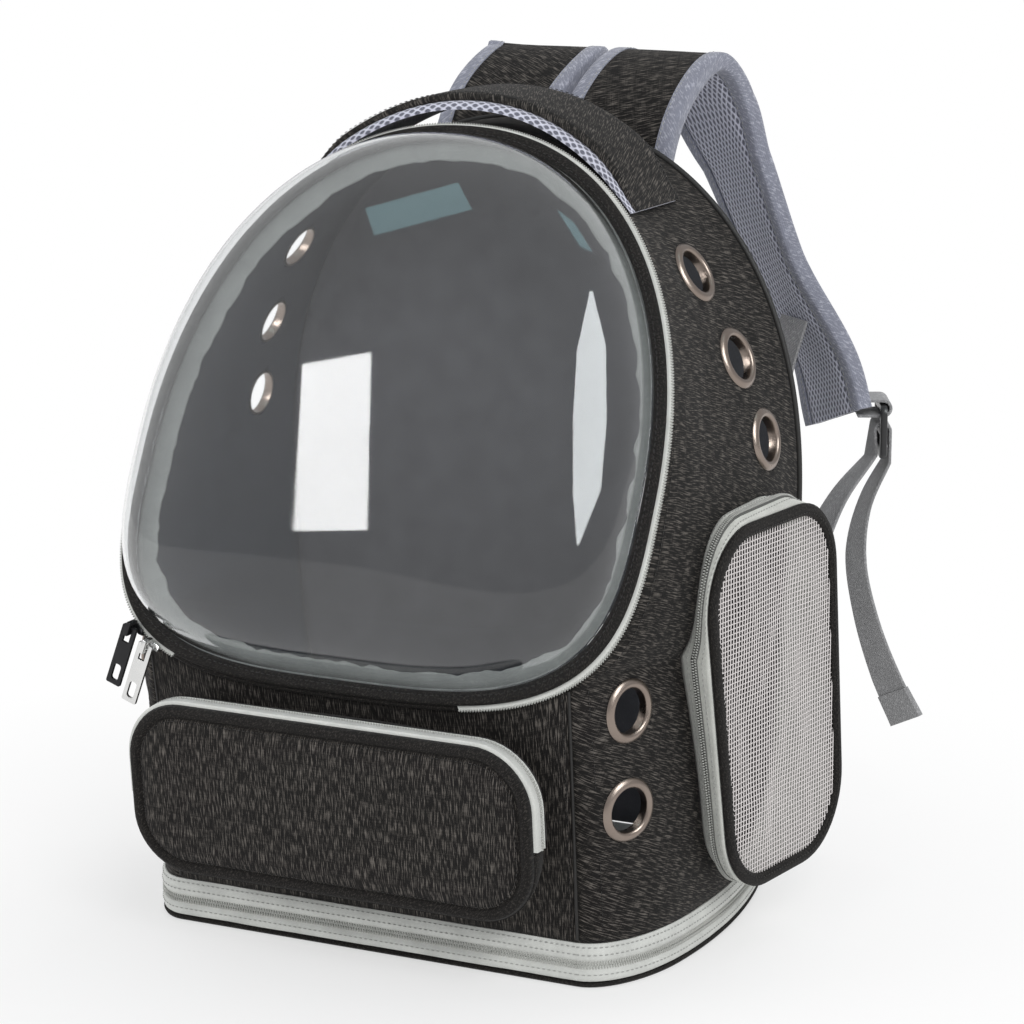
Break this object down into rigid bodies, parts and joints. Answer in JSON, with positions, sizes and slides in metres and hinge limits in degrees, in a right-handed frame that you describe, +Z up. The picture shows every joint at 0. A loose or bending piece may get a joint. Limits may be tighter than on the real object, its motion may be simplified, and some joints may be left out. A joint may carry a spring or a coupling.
{
  "type": "bubble pet carrier backpack",
  "caption": "Black heather-cloth pet carrier backpack with a clear bubble door, ten metal vent rings, front and side zip pockets, carry handle and padded shoulder straps.",
  "frame": {"origin": "middle of the base, on the surface the bag stands on", "axes": "+X across the bag's width, to the wearer's right; -Y out of the bubble door; +Y to the wearer's back; +Z up"},
  "size_m": [0.3808, 0.3846, 0.4454],
  "materials": {
    "black_cloth": "matt heather weave",
    "grey_tape": "matt zip tape",
    "aged_nickel": "aged, slightly bronze",
    "pad_cloth": "matt",
    "clear_plastic": "clear, glossy",
    "net": "open net",
    "air_mesh": "knitted spacer mesh",
    "lavender_web": "matt binding",
    "grey_web": "woven webbing",
    "black_plastic": "satin",
    "bright_metal": "satin bright",
    "black_metal": "black gloss"
  },
  "bodies": {
    "carrier": {"back_panel": "black_cloth", "base_tray": "black_cloth", "base_zip_band": "grey_tape", "chest_buckle_left": "black_plastic", "chest_buckle_right": "black_plastic", "chest_web_left": "grey_web", "chest_web_right": "grey_web", "dome": "clear_plastic", "door_flange": "black_cloth", "door_hinge_strip": "black_cloth", "door_inner_binding": "grey_tape", "door_slider_black": "black_metal", "door_slider_bright": "bright_metal", "door_zipper": "grey_tape", "floor_pad": "pad_cloth", "front_panel": "black_cloth", "front_pocket_face": "black_cloth", "front_pocket_gusset": "black_cloth", "front_pocket_zipper": "grey_tape", "handle_band": "black_cloth", "handle_underside": "air_mesh", "ladder_lock_left": "black_plastic", "ladder_lock_right": "black_plastic", "lock_loop_left": "grey_web", "lock_loop_right": "grey_web", "lower_anchor_left": "black_cloth", "lower_anchor_right": "black_cloth", "side_pocket_binding_left": "black_cloth", "side_pocket_binding_right": "black_cloth", "side_pocket_gusset_left": "grey_tape", "side_pocket_gusset_right": "grey_tape", "side_pocket_net_left": "net", "side_pocket_net_right": "net", "side_pocket_zipper_left": "grey_tape", "side_pocket_zipper_right": "grey_tape", "side_top_wall": "black_cloth", "strap_cover_left": "black_cloth", "strap_cover_right": "black_cloth", "strap_edge_inner_left": "lavender_web", "strap_edge_inner_right": "lavender_web", "strap_edge_outer_left": "lavender_web", "strap_edge_outer_right": "lavender_web", "strap_pad_left": "air_mesh", "strap_pad_right": "air_mesh", "strap_web_left": "grey_web", "strap_web_right": "grey_web", "vent_ring_left_1": "aged_nickel", "vent_ring_left_2": "aged_nickel", "vent_ring_left_3": "aged_nickel", "vent_ring_left_4": "aged_nickel", "vent_ring_left_5": "aged_nickel", "vent_ring_right_1": "aged_nickel", "vent_ring_right_2": "aged_nickel", "vent_ring_right_3": "aged_nickel", "vent_ring_right_4": "aged_nickel", "vent_ring_right_5": "aged_nickel"},
    "pull_bright": {"pull_tab_bright": "bright_metal"},
    "pull_black": {"pull_tab_black": "black_metal"}
  },
  "joints": [
    {"name": "pull_bright_hinge", "type": "hinge", "parent": "carrier", "child": "pull_bright", "pos_m": [-0.1154, -0.12517, 0.15756], "axis": [0.9397, 0, -0.342], "range_deg": [-120, 3]},
    {"name": "pull_black_hinge", "type": "hinge", "parent": "carrier", "child": "pull_black", "pos_m": [-0.12702, -0.12148, 0.16479], "axis": [0.9397, 0, -0.342], "range_deg": [-120, 3]}
  ]
}
